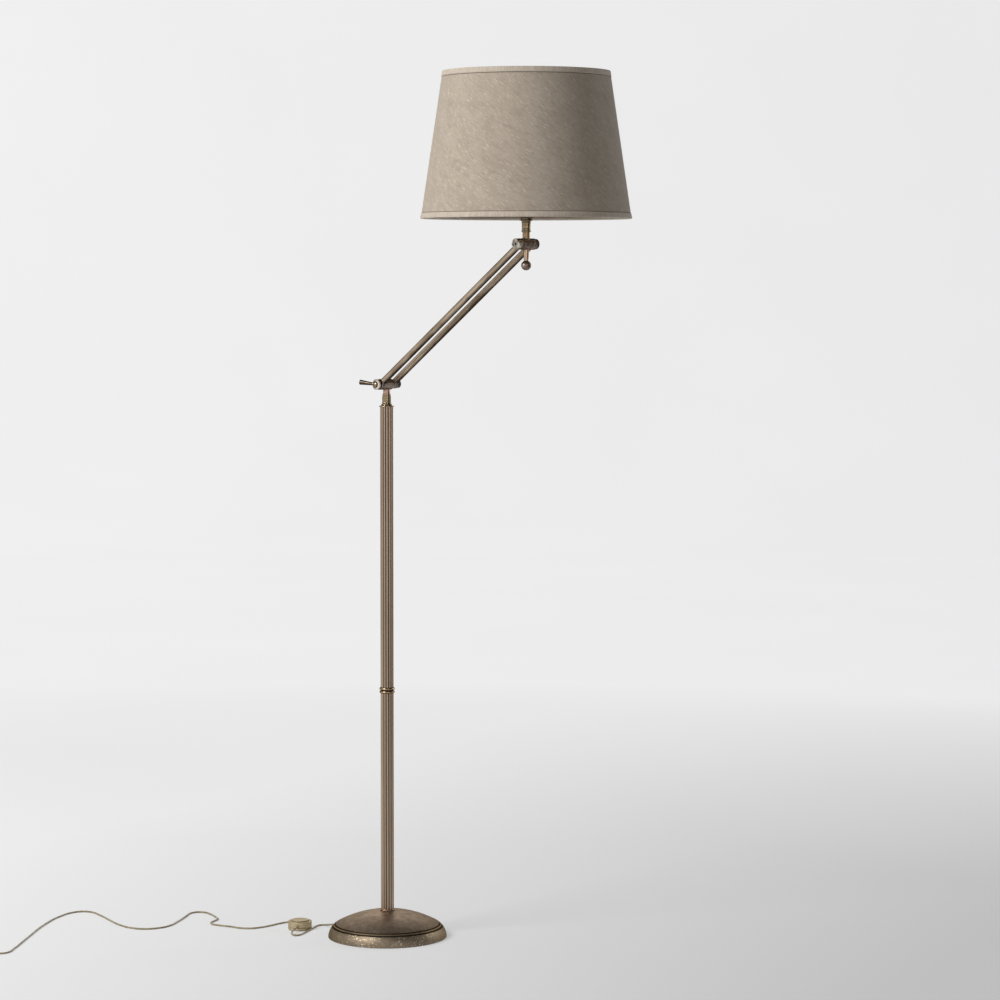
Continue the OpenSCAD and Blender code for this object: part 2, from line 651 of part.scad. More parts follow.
module holder_shell() color(BLACK) upper_joint() translate([0, 0, flare_z]) rotate_extrude() difference() {
    union() {
        square([holder_r, holder_h]);
        translate([0, shelf_z - flare_z - 3]) square([shelf_r, 3]);
    }
    translate([0, 2]) square([holder_r - 2, holder_h]);
    square([6.5, 5]);
}

module holder_insert() color("ivory") upper_joint() translate([0, 0, flare_z + 2]) difference() {
    cylinder(r = holder_r - 2 - 0.2, h = holder_h - 6);
    translate([0, 0, 12]) cylinder(r = bulb_cap_r + 1.2, h = holder_h);
    for (s = [-1, 1]) translate([8*s, 0, -1]) cylinder(r = 2, h = 20);
}

module holder_contact() color("gold") upper_joint() translate([0, 0, flare_z + 14]) {
    cylinder(r = 4, h = 3.6);
    difference() {
        cylinder(r = bulb_cap_r + 1.1, h = 26);
        translate([0, 0, -1]) cylinder(r = bulb_cap_r + 0.3, h = 28);
    }
}

module bulb_cap() color(STEEL) upper_joint() translate([0, 0, flare_z + 18]) rotate_extrude() polygon([
    [0, 0], [5, 0], [6, 2], [bulb_cap_r - 1, 4], [bulb_cap_r, 6], [bulb_cap_r, bulb_z - flare_z - 18],
    [0, bulb_z - flare_z - 18]]);

// Pear-shaped glass: a ball that narrows to the cap
module bulb_glass() color([0.95, 0.95, 0.92]) upper_joint() translate([0, 0, bulb_z]) rotate_extrude() union() {
    ball_z = bulb_h - bulb_d/2;
    intersection() {
        translate([0, ball_z]) circle(d = bulb_d, $fn = 64);
        square([bulb_d, bulb_h]);
    }
    polygon([[0, 0], [bulb_cap_r + 1, 0], [bulb_cap_r + 2, 12], [bulb_cap_r + 6, 26],
        [bulb_d/2*cos(24), ball_z - bulb_d/2*sin(24)], [0, ball_z]]);
}

module shade_ring_nut() color(BLACK) upper_joint() translate([0, 0, shelf_z + carrier_t])
    difference() {
        cylinder(r = holder_r + 6, h = ring_nut_h);
        translate([0, 0, -1]) cylinder(r = holder_r + fit, h = ring_nut_h + 2);
        for (i = [0:11]) rotate(i*30) translate([holder_r + 6.6, 0, -1]) cylinder(r = 1.4, h = ring_nut_h + 2);
    }

// Shade

wire_bottom_r = shade_r(bead_h) - shade_t - wire_d/2 - 0.2;
wire_top_r = shade_r(shade_h - bead_h) - shade_t - wire_d/2 - 0.2;
carrier_arms = 3;
carrier_z = shelf_z - shade_rise;            // the collar's lower face above the shade's lower edge

// Collar on the lampholder and three arms down to the lower frame wire
module shade_carrier() color(STEEL) shade_frame() {
    translate([0, 0, carrier_z]) difference() {
        cylinder(r = carrier_r, h = carrier_t);
        translate([0, 0, -1]) cylinder(r = holder_r + 0.1, h = 4);
    }
    drop = carrier_z + carrier_t/2 - bead_h;
    run = wire_bottom_r - wire_d/2 - 0.1 - carrier_r + 1;
    for (i = [0:carrier_arms - 1]) rotate(60 + 360*i/carrier_arms)
        translate([carrier_r - 1, 0, carrier_z + carrier_t/2]) rotate([0, 90 + atan(drop/run), 0])
            cylinder(r = 1.6, h = norm([drop, run]), $fn = 24);
}

module frame_wire(r, h) shade_frame() translate([0, 0, h]) rotate_extrude($fn = 96)
    translate([r, 0]) circle(d = wire_d, $fn = 24);
module shade_wire_bottom() color("white") frame_wire(wire_bottom_r, bead_h);
module shade_wire_top() color("white") frame_wire(wire_top_r, shade_h - bead_h);

module shade_drum() color(LINEN) shade_frame() rotate_extrude($fn = 120) polygon([
    [shade_r(0) - shade_t, 0], [shade_r(0), 0], [shade_r(shade_h), shade_h], [shade_r(shade_h) - shade_t, shade_h]]);

// Linen tape folded over each edge, outside, under and inside the drum
module edge_tape(h0, h1, edge, proud) shade_frame() rotate_extrude($fn = 120) difference() {
    union() {
        polygon([[shade_r(h0), h0], [shade_r(h0) + proud, h0], [shade_r(h1) + proud, h1], [shade_r(h1), h1]]);
        translate([shade_r(edge) - shade_t/2, edge]) circle(r = proud + shade_t/2, $fn = 24);
    }
    polygon([[shade_r(0) - shade_t - 0.05, 0], [shade_r(0) + 0.05, 0],
        [shade_r(shade_h) + 0.05, shade_h], [shade_r(shade_h) - shade_t - 0.05, shade_h]]);
    translate([edge == 0 ? wire_bottom_r : wire_top_r, edge == 0 ? bead_h : shade_h - bead_h]) circle(d = wire_d + 0.1);
}
module shade_trim_bottom() color(TAPE) edge_tape(0, trim_w, 0, 1.4);
module shade_trim_top() color(TAPE) edge_tape(shade_h - trim_w, shade_h, shade_h, 0.8);

module head_wire() color(CORD) upper_joint() translate([0, 0, bolt_r + 0.6])
    cylinder(r = wire_r, h = flare_z - bolt_r + 1);

// Foot switch

module switch_frame() translate([switch_x, switch_y, 0]) children();
switch_r = switch_d/2;

module switch_base() color(OLIVE) switch_frame() difference() {
    turned_ring(0, switch_r, 0, split_z, 1);
    translate([0, 0, 2]) cylinder(r = switch_r - 2, h = split_z);
}

module switch_cover() color(OLIVE) switch_frame() difference() {
    rotate_extrude() difference() {
        union() {
            translate([0, split_z]) square([switch_r, switch_h - split_z - 0.8]);
            translate([0, split_z]) square([switch_r - 0.8, switch_h - split_z]);
            translate([switch_r - 0.8, switch_h - 0.8]) circle(r = 0.8, $fn = 32);
        }
        translate([0, split_z - 1]) square([switch_r - 2, switch_h - split_z - 1]);
        translate([0, split_z - 1]) square([button_d/2 + seat, switch_h]);
    }
}

// Latching push-button module with its own contacts and spring
module_r = 14;
module_h = 7.6;
module switch_module() color("ivory") switch_frame() translate([0, 0, 2]) {
    cylinder(r = module_r, h = module_h);
    for (s = [-1, 1]) translate([s*(module_r + 2), 0, 0]) cylinder(r = 2.6, h = 5);
}

module switch_screws() color(STEEL) switch_frame() for (s = [-1, 1]) rotate(switch_in_a + 90)
    translate([s*(switch_r - 5.5), 0, 2]) difference() {
        cylinder(r = 2.2, h = 3);
        translate([-2.5, -0.4, 2.2]) cube([5, 0.8, 2]);
    }

button_floor = 2 + module_h + button_travel + seat;
module switch_button() color(OLIVE) switch_frame() translate([0, 0, button_floor]) rotate_extrude($fn = 72)
    domed(button_d/2, switch_h + button_rise - button_floor - 1, 1);

// Cord, coil and plug

port_dir = [cos(switch_in_a), sin(switch_in_a), 0];
main_path = concat(MAIN, [coil_start]);
module cord_lead() color(CORD) swept(LEAD, cord_r, 8, [cos(grommet_a), sin(grommet_a), 0], -port_dir);
module cord_main() color(CORD) swept(main_path, cord_r, 8, -port_dir, coil_in_dir);
module cord_coil() color(CORD) swept(concat([coil_start], COIL, [coil_end]), cord_r, 6, coil_in_dir, coil_out_dir);

coil_mid_gap = min([for (i = [0:coil_steps], j = [0:coil_steps]) if (j - i > 12) norm(COIL[j] - COIL[i])]) - cord_d;
echo(least_gap_in_coil = coil_mid_gap);

// Flat strap round the bundle of turns, beside the place where the turns climb
tie_a = 100;
tie_w = 8;
tie_in = coil_out_r - coil_pitch*coil_half - cord_r - 0.6;
tie_out = coil_out_r + cord_r + 0.3;
tie_top = coil_z + coil_layer + cord_r + 0.3;
module coil_tie() color(BLACK) translate([coil_x, coil_y, 0]) rotate([90, 0, tie_a]) translate([0, 0, -tie_w/2])
    linear_extrude(tie_w) difference() {
        translate([tie_in - tie_t, 0]) square([tie_out - tie_in + 2*tie_t, tie_top + tie_t]);
        translate([tie_in, tie_t]) square([tie_out - tie_in, tie_top - tie_t]);
    }

relief_len = 24;
plug_body_len = 36;
plug_w = 26;
pin_len = 19;
pin_gap = 19;
pin_r = 2;
module plug_frame() translate(coil_end) rotate([0, 0, atan2(coil_out_dir[1], coil_out_dir[0])]) children();

module plug_relief() color(BLACK) plug_frame() rotate([0, 90, 0]) cylinder(r1 = 3, r2 = 5, h = relief_len);

// Flat two-pin plug: a hexagonal body, narrow at the cord and wide at the pins
module plug_body() color(BLACK) plug_frame() translate([relief_len, 0, -plug_t/2]) linear_extrude(plug_t) polygon([
    [0, -6.5], [plug_body_len*0.45, -plug_w/2], [plug_body_len - 5, -plug_w/2], [plug_body_len, -plug_w/2 + 3],
    [plug_body_len, plug_w/2 - 3], [plug_body_len - 5, plug_w/2], [plug_body_len*0.45, plug_w/2], [0, 6.5]]);

module plug_pins() color(STEEL) plug_frame() for (s = [-1, 1]) translate([relief_len + plug_body_len, s*pin_gap/2, 0]) {
    along_x(0, pin_len - 1.5, pin_r);
    translate([pin_len - 1.5, 0, 0]) rotate([0, 90, 0]) cylinder(r1 = pin_r, r2 = 1.1, h = 1.5);
}

base_shell();
base_ballast();
base_felt();
base_nut();
tie_pipe();
cord_grommet();
column_wire();
column_foot_ring();
column_lower();
column_coupler();
column_upper();
column_cap();
lower_knuckle();
swivel_nut();
lower_bushes();
arm_tube_front();
arm_tube_rear();
lower_eye_front();
lower_eye_rear();
upper_eye_front();
upper_eye_rear();
eye_screws();
lower_bolt();
lever_washer();
lever_button();
upper_bolt();
upper_cap_disc();
upper_cap_nut();
arm_wire();
clamp_lever();
upper_knuckle();
upper_bushes();
ball_finial();
stem_collar();
holder_cup();
holder_shell();
holder_insert();
holder_contact();
shade_ring_nut();
bulb_glass();
bulb_cap();
shade_carrier();
shade_wire_bottom();
shade_wire_top();
shade_drum();
shade_trim_bottom();
shade_trim_top();
head_wire();
switch_base();
switch_cover();
switch_module();
switch_screws();
switch_button();
cord_lead();
cord_main();
cord_coil();
coil_tie();
plug_body();
plug_relief();
plug_pins();
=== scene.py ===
"""Looks of the bridge floor lamp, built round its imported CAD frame.

Everything is in metres, in the frame's own axes: +Z up, the arm reaching along +X, and the origin
on the floor under the column. Camera and cords come first, then the finishes, the fabric shade,
the stage and the lights.
"""

import math

import bmesh
import bpy
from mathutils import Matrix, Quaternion, Vector


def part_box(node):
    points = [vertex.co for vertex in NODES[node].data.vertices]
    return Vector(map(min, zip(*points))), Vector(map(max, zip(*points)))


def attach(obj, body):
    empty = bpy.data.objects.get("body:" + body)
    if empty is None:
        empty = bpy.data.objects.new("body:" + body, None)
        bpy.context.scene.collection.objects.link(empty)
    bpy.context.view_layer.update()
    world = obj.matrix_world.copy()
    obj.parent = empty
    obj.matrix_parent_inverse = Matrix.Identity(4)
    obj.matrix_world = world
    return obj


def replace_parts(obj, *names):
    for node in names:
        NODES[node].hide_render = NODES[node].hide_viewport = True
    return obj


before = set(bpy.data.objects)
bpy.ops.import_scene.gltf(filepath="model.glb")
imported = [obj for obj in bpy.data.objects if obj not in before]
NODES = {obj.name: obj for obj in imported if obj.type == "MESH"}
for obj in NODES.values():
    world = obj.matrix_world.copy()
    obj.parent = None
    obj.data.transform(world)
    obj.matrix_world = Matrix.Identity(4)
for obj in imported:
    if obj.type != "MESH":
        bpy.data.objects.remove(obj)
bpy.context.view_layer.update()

scene = bpy.context.scene
MM = 0.001


def srgb(red, green, blue):
    """Linear RGBA of a colour given in 0..255 steps of sRGB."""
    linear = []
    for value in (red, green, blue):
        v = value/255
        linear.append(v/12.92 if v <= 0.04045 else ((v + 0.055)/1.055)**2.4)
    return (*linear, 1)


# ---------------------------------------------------------------- camera

CAMERA_AT = Vector((4.889, -4.554, 1.397))
AHEAD = Vector((-1, 1, 0)).normalized()
RIGHT = Vector((AHEAD.y, -AHEAD.x, 0))
LENS_MM = 115.2
TILT_DOWN = math.radians(4.05)
ROLL = math.radians(0.042)


def make_camera():
    data = bpy.data.cameras.new("camera")
    data.lens = LENS_MM
    data.sensor_width = 36
    data.clip_end = 40
    camera = bpy.data.objects.new("camera", data)
    camera.location = CAMERA_AT
    look = AHEAD*math.cos(TILT_DOWN) - Vector((0, 0, math.sin(TILT_DOWN)))
    turn = look.to_track_quat("-Z", "Y") @ Quaternion((0, 0, 1), ROLL)
    camera.rotation_euler = turn.to_euler()
    scene.collection.objects.link(camera)
    scene.camera = camera


make_camera()


# ---------------------------------------------------------------- cords

CORD_D = 4*MM

# Lead from the base to the foot switch, in millimetres
LEAD = [
    (-126.4, -29.2, 11), (-135, -31, 10.5), (-147, -29.5, 8), (-160, -25, 5), (-171, -22.5, 3),
    (-179, -26, 2.2), (-180, -37, 2), (-173, -50, 2), (-160, -74, 2), (-149, -96, 2),
    (-140, -115, 2), (-135, -127, 2), (-137, -136, 2), (-145, -139, 3), (-154, -133, 5),
    (-161, -122, 8), (-166.4, -109.3, 10), (-172.3, -101.2, 10),
]
# Cord from the switch across the floor, in millimetres
MAIN = [
    (-201.7, -60.8, 10), (-207, -53.5, 10), (-217, -46, 8.5), (-231, -44, 6), (-244, -51, 4),
    (-253, -64, 2.5), (-255, -80, 2), (-252, -106, 2), (-252, -135, 2), (-261, -159, 2),
    (-279, -171, 2), (-302, -175, 2), (-328, -183, 2), (-349, -187, 2), (-364, -180, 2),
    (-374, -162, 2), (-385, -143, 2), (-405, -133, 2), (-436, -121, 2), (-459, -117, 2),
    (-474, -125, 2), (-476, -142, 2), (-459, -169, 2), (-425, -221, 2), (-404, -260, 2),
    (-400, -290, 2), (-414, -321, 2), (-442, -335, 2), (-480, -334, 2), (-540, -317, 2),
    (-600, -298, 2), (-638, -291, 2), (-657, -300, 2), (-663, -323, 2), (-652, -361, 2),
    (-605, -440, 2), (-519, -550, 2), (-446, -641, 2), (-428, -667, 2), (-427, -683, 2),
    (-437, -694, 2.4),
]
# Put-away coil: it spirals in, climbs a layer and spirals out again
COIL_AT = (-488, -697)
COIL_START = math.radians(-45)
COIL_TURNS = 6.25
COIL_MID_R = 23.5
COIL_PITCH = 4.6
COIL_LOW = 3
COIL_LAYER = 4.6
COIL_STEPS = 20
COIL_TAIL = 24


def coil_points():
    """Centreline of the coil and its straight tail into the plug, in millimetres."""
    half = COIL_TURNS/2
    outer = COIL_MID_R + COIL_PITCH*half/2
    points = []
    count = int(COIL_TURNS*COIL_STEPS)
    for i in range(count + 1):
        t = i*COIL_TURNS/count
        angle = COIL_START - 2*math.pi*t
        radius = outer - COIL_PITCH*min(t, COIL_TURNS - t)
        climb = min(max((t - half)/0.5 + 0.5, 0), 1)
        points.append((COIL_AT[0] + radius*math.cos(angle), COIL_AT[1] + radius*math.sin(angle),
                       COIL_LOW + COIL_LAYER*climb))
    lead_in = (math.sin(COIL_START), -math.cos(COIL_START))
    end = COIL_START - 2*math.pi*COIL_TURNS
    lead_out = (math.sin(end), -math.cos(end))
    x, y, z = points[0]
    first = (x - CORD_D/MM*lead_in[0], y - CORD_D/MM*lead_in[1], z)
    x, y, z = points[-1]
    tail = [(x + lead_out[0]*s, y + lead_out[1]*s, z) for s in (COIL_TAIL/2, COIL_TAIL)]
    return [first, *points, *tail]


def make_cord(name, points):
    """Round cord along points given in millimetres, as one smooth open curve."""
    curve = bpy.data.curves.new(name, "CURVE")
    curve.dimensions = "3D"
    curve.bevel_depth = 1
    curve.bevel_resolution = 3
    curve.resolution_u = 6
    curve.use_fill_caps = True
    spline = curve.splines.new("BEZIER")
    spline.bezier_points.add(len(points) - 1)
    for knot, point in zip(spline.bezier_points, points):
        knot.co = Vector(point)*MM
        knot.radius = CORD_D/2
        knot.handle_left_type = knot.handle_right_type = "AUTO"
    cord = bpy.data.objects.new(name, curve)
    scene.collection.objects.link(cord)
    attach(cord, "stand")
    return cord


lead_cord = make_cord("lead_cord", LEAD)
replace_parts(lead_cord, "cord_lead")

main_cord = make_cord("main_cord", MAIN + coil_points())
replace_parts(main_cord, "cord_main", "cord_coil")


# ---------------------------------------------------------------- node materials

class Nodes:
    """Short calls that add nodes to a node tree."""

    def __init__(self, tree):
        self.tree = tree

    def node(self, kind, **settings):
        node = self.tree.nodes.new(kind)
        for name, value in settings.items():
            setattr(node, name, value)
        return node

    def feed(self, socket, value):
        """Links value into socket if it is a node's output, and else sets it."""
        if isinstance(value, bpy.types.NodeSocket):
            self.tree.links.new(value, socket)
        else:
            socket.default_value = value

    def place(self, stretch=(1, 1, 1), turn=(0, 0, 0), source="Object"):
        """Texture coordinates in metres, turned and then stretched along their own axes."""
        coordinates = self.node("ShaderNodeTexCoord").outputs[source]
        mapping = self.node("ShaderNodeMapping", vector_type="TEXTURE")
        self.feed(mapping.inputs["Vector"], coordinates)
        mapping.inputs["Scale"].default_value = [1/factor for factor in stretch]
        mapping.inputs["Rotation"].default_value = turn
        return mapping.outputs["Vector"]

    def along(self, axis, source="Object"):
        """Position in metres along a direction."""
        dot = self.node("ShaderNodeVectorMath", operation="DOT_PRODUCT")
        self.feed(dot.inputs[0], self.node("ShaderNodeTexCoord").outputs[source])
        dot.inputs[1].default_value = axis
        return dot.outputs["Value"]

    def noise(self, place, size, detail=3, roughness=0.5):
        """Noise whose blobs are about size metres across."""
        node = self.node("ShaderNodeTexNoise")
        self.feed(node.inputs["Vector"], place)
        node.inputs["Scale"].default_value = 0.5/size
        node.inputs["Detail"].default_value = detail
        node.inputs["Roughness"].default_value = roughness
        return node.outputs["Fac"]

    def span(self, value, low, high, to_low=0.0, to_high=1.0):
        """value from low..high taken to to_low..to_high, and held there."""
        node = self.node("ShaderNodeMapRange", clamp=True)
        self.feed(node.inputs["Value"], value)
        for name, number in (("From Min", low), ("From Max", high), ("To Min", to_low), ("To Max", to_high)):
            node.inputs[name].default_value = number
        return node.outputs["Result"]

    def band(self, value, low, high, soft):
        """1 between low and high, fading to 0 over soft outside them."""
        rise = self.span(value, low - soft, low)
        fall = self.span(value, high, high + soft, 1, 0)
        return self.maths("MULTIPLY", rise, fall)

    def maths(self, operation, a, b=0.0):
        node = self.node("ShaderNodeMath", operation=operation)
        self.feed(node.inputs[0], a)
        self.feed(node.inputs[1], b)
        return node.outputs["Value"]

    def blend(self, factor, a, b):
        """Colour a where factor is 0 and b where it is 1."""
        node = self.node("ShaderNodeMix", data_type="RGBA")
        self.feed(node.inputs[0], factor)
        self.feed(node.inputs[6], a)
        self.feed(node.inputs[7], b)
        return node.outputs[2]

    def between(self, factor, a, b):
        """Number a where factor is 0 and b where it is 1."""
        node = self.node("ShaderNodeMix", data_type="FLOAT")
        self.feed(node.inputs[0], factor)
        self.feed(node.inputs[2], a)
        self.feed(node.inputs[3], b)
        return node.outputs[0]

    def crevices(self, reach, low=0.45, high=0.95):
        """1 in grooves and corners, falling to 0 on faces that stand open for reach metres."""
        node = self.node("ShaderNodeAmbientOcclusion", samples=6)
        node.inputs["Distance"].default_value = reach
        return self.span(node.outputs["AO"], low, high, 1, 0)

    def away_from(self, centre, axes=(1, 1, 0)):
        """Distance in metres from a line through centre; axes marks the directions across it."""
        shift = self.node("ShaderNodeVectorMath", operation="SUBTRACT")
        self.feed(shift.inputs[0], self.node("ShaderNodeTexCoord").outputs["Object"])
        shift.inputs[1].default_value = centre
        flat = self.node("ShaderNodeVectorMath", operation="MULTIPLY")
        self.feed(flat.inputs[0], shift.outputs["Vector"])
        flat.inputs[1].default_value = axes
        length = self.node("ShaderNodeVectorMath", operation="LENGTH")
        self.feed(length.inputs[0], flat.outputs["Vector"])
        return length.outputs["Value"]

    def edges(self, width):
        """1 on sharp edges, falling to 0 about width metres away from them."""
        bevel = self.node("ShaderNodeBevel", samples=4)
        bevel.inputs["Radius"].default_value = width
        geometry = self.node("ShaderNodeNewGeometry")
        dot = self.node("ShaderNodeVectorMath", operation="DOT_PRODUCT")
        self.feed(dot.inputs[0], bevel.outputs["Normal"])
        self.feed(dot.inputs[1], geometry.outputs["Normal"])
        return self.span(dot.outputs["Value"], 0.995, 0.9, 0, 1)


class Finish(Nodes):
    """A procedural material of one Principled shader; constants are its other sockets."""

    def __init__(self, name, colour=(0.5, 0.5, 0.5, 1), roughness=0.5, metallic=0.0, **constants):
        self.material = bpy.data.materials.new(name)
        self.material.use_nodes = True
        super().__init__(self.material.node_tree)
        self.shader = self.tree.nodes["Principled BSDF"]
        self.shader.inputs["Base Color"].default_value = colour
        self.shader.inputs["Roughness"].default_value = roughness
        self.shader.inputs["Metallic"].default_value = metallic
        for socket, value in constants.items():
            self.shader.inputs[socket.replace("_", " ")].default_value = value

    def colour(self, value):
        self.feed(self.shader.inputs["Base Color"], value)

    def roughness(self, value):
        self.feed(self.shader.inputs["Roughness"], value)

    def bump(self, height, depth):
        """Bump of about depth metres from a height of 0..1."""
        node = self.node("ShaderNodeBump")
        node.inputs["Strength"].default_value = 1.0
        node.inputs["Distance"].default_value = depth
        self.feed(node.inputs["Height"], height)
        self.feed(self.shader.inputs["Normal"], node.outputs["Normal"])


# Colour of dirt and painted shade in grooves, corners and the gaps between parts
GRIME_AND_SHADE = srgb(34, 28, 22)
DULL_EDGE = (0.42, 0.38, 0.34, 1)
BLACK_EDGE = (0.14, 0.12, 0.1, 1)


def aged_metal(name, base, patina, wear_and_glint, rough=(0.3, 0.5), cloud=0.03, speckle=0.3, metallic=1.0,
               bands=(), grime_and_shade=0.8, tint=DULL_EDGE, rim=0.0006):
    """Metal with clouds of patina, fine specks of wear, edges of wear with a painted highlight, and dirt
    with painted shade in its grooves.

    cloud and rim are the sizes of the patina's clouds and of the edges of wear with their painted
    highlight, and each band is (low, high, softness, colour, amount) along Z, all in metres."""
    finish = Finish(name, metallic=metallic, Specular_Tint=tint)
    place = finish.place()
    clouds = finish.noise(place, cloud, detail=4, roughness=0.6)
    mottle = finish.noise(place, 0.004, detail=4, roughness=0.65)
    colour = finish.blend(finish.span(clouds, 0.38, 0.62), base, patina)
    for low, high, soft, tone, amount in bands:
        ring = finish.band(finish.along((0, 0, 1)), low, high, soft)
        colour = finish.blend(finish.maths("MULTIPLY", ring, amount), colour, tone)
    colour = finish.blend(finish.span(mottle, 0.35, 0.75, 0, 0.45), colour, patina)
    specks = finish.noise(place, 0.0011, detail=2, roughness=0.6)
    gather = finish.span(clouds, 0.3, 0.7, 0.35, 1)
    specks = finish.maths("MULTIPLY", finish.span(specks, 0.6, 0.72, 0, speckle), gather)
    colour = finish.blend(specks, colour, wear_and_glint)
    # dirt and painted shade in grooves and corners
    colour = finish.blend(finish.maths("MULTIPLY", finish.crevices(0.004), grime_and_shade), colour, GRIME_AND_SHADE)
    # edges of wear with a painted highlight along them
    rub_and_glint = finish.maths("MULTIPLY", finish.edges(rim), finish.span(mottle, 0.3, 0.6, 0.2, 0.6))
    colour = finish.blend(rub_and_glint, colour, wear_and_glint)
    finish.colour(colour)
    finish.roughness(finish.span(finish.noise(place, 0.009, detail=4), 0.3, 0.7, *rough))
    finish.bump(finish.noise(place, 0.0009, detail=3, roughness=0.6), 0.00004)
    return finish


def drawn_metal(name, base, dark, wear_and_glint, rough=(0.25, 0.42), axis=(0, 0, 0), tarnished=0.5,
                speckle=0.35, tint=DULL_EDGE, shaded_side=None):
    """Tube metal drawn along its length: long faint streaks, soft tarnish, dirt with painted shade between
    reeds, and edges of wear with a painted highlight.

    axis turns the streaks from Z to the tube's direction, and painted shade darkens the sides that
    face along shaded_side and against it."""
    finish = Finish(name, metallic=1.0, Specular_Tint=tint)
    streaks = finish.noise(finish.place((1, 1, 0.012), axis), 0.0012, detail=3, roughness=0.6)
    tarnish = finish.noise(finish.place((1, 1, 0.25), axis), 0.012, detail=4, roughness=0.6)
    specks = finish.noise(finish.place((1, 1, 0.4), axis), 0.0012, detail=2, roughness=0.6)
    colour = finish.blend(finish.span(streaks, 0.3, 0.7, 0, 0.5), base, dark)
    colour = finish.blend(finish.span(tarnish, 0.4, 0.65, 0, tarnished), colour, dark)
    colour = finish.blend(finish.span(specks, 0.6, 0.74, 0, speckle), colour, wear_and_glint)
    if shaded_side:
        # painted shade on the sides facing along shaded_side and against it
        side = finish.maths("ABSOLUTE", finish.along(shaded_side, "Normal"))
        side = finish.maths("ADD", side, finish.span(tarnish, 0.3, 0.7, -0.15, 0.15))
        colour = finish.blend(finish.span(side, 0.45, 0.95, 0, 0.85), colour, srgb(52, 42, 34))
    # dirt and painted shade in grooves and corners
    colour = finish.blend(finish.maths("MULTIPLY", finish.crevices(0.003), 0.85), colour, GRIME_AND_SHADE)
    # edges of wear with a painted highlight along them
    colour = finish.blend(finish.maths("MULTIPLY", finish.edges(0.0005), 0.35), colour, wear_and_glint)
    finish.colour(colour)
    finish.roughness(finish.span(tarnish, 0.35, 0.65, *rough))
    finish.bump(streaks, 0.00003)
    return finish


def turned_metal(name, base, dark, wear_and_glint, rough=(0.16, 0.28)):
    """Lathe-turned metal: fine rings round the vertical axis, dirt with painted shade black in its coves,
    and wear with a painted highlight on its beads.
    """
    finish = Finish(name, metallic=1.0, Specular_Tint=BLACK_EDGE)
    rings = finish.noise(finish.place((0.01, 0.01, 1)), 0.0016, detail=2, roughness=0.6)
    tarnish = finish.noise(finish.place((1, 1, 0.5)), 0.01, detail=3, roughness=0.5)
    colour = finish.blend(finish.span(rings, 0.42, 0.66, 0, 0.75), base, dark)
    colour = finish.blend(finish.span(tarnish, 0.45, 0.7, 0, 0.5), colour, dark)
    # dirt and painted shade in the coves
    colour = finish.blend(finish.crevices(0.007, 0.5, 0.92), colour, GRIME_AND_SHADE)
    # wear with a painted highlight on the beads' edges
    colour = finish.blend(finish.maths("MULTIPLY", finish.edges(0.0009), 0.6), colour, wear_and_glint)
    finish.colour(colour)
    finish.roughness(finish.span(tarnish, 0.35, 0.65, *rough))
    finish.bump(rings, 0.00003)
    return finish


VALLEY_R = 12.25*MM    # inside this radius the valleys' painted shade and dirt are at their darkest


def reeded_metal(name, base, dark, rough=(0.27, 0.36)):
    """Reeded column: smooth reeds with a faint drawn streak, and painted shade with dirt in the valleys
    between them.
    """
    finish = Finish(name, metallic=1.0, Specular_Tint=DULL_EDGE)
    streaks = finish.noise(finish.place((1, 1, 0.004)), 0.0025, detail=2, roughness=0.5)
    tarnish = finish.noise(finish.place((1, 1, 0.12)), 0.012, detail=3, roughness=0.5)
    colour = finish.blend(finish.span(streaks, 0.35, 0.65, 0, 0.6), base, dark)
    colour = finish.blend(finish.span(tarnish, 0.4, 0.65, 0, 0.35), colour, dark)
    # painted shade with dirt, darkest inside VALLEY_R between the reeds
    valley_shade = finish.span(finish.away_from((0, 0, 0)), VALLEY_R, VALLEY_R + 0.0008, 0.96, 0)
    finish.colour(finish.blend(valley_shade, colour, srgb(58, 42, 32)))
    finish.roughness(finish.span(tarnish, 0.35, 0.65, *rough))
    finish.bump(streaks, 0.00002)
    return finish


def moulded(name, colour, shade, roughness=0.45, grain=0.0006, depth=0.00003, **constants):
    """Moulded plastic, rubber or ceramic: a faint mottle and a fine grain."""
    finish = Finish(name, **constants)
    place = finish.place()
    mottle = finish.noise(place, 0.006, detail=3)
    finish.colour(finish.blend(finish.span(mottle, 0.35, 0.65), colour, shade))
    finish.roughness(finish.span(mottle, 0.3, 0.7, roughness - 0.06, roughness + 0.08))
    finish.bump(finish.noise(place, grain, detail=2), depth)
    return finish


BIAS = math.radians(-37)    # slant of the linen's threads against the shade's edge


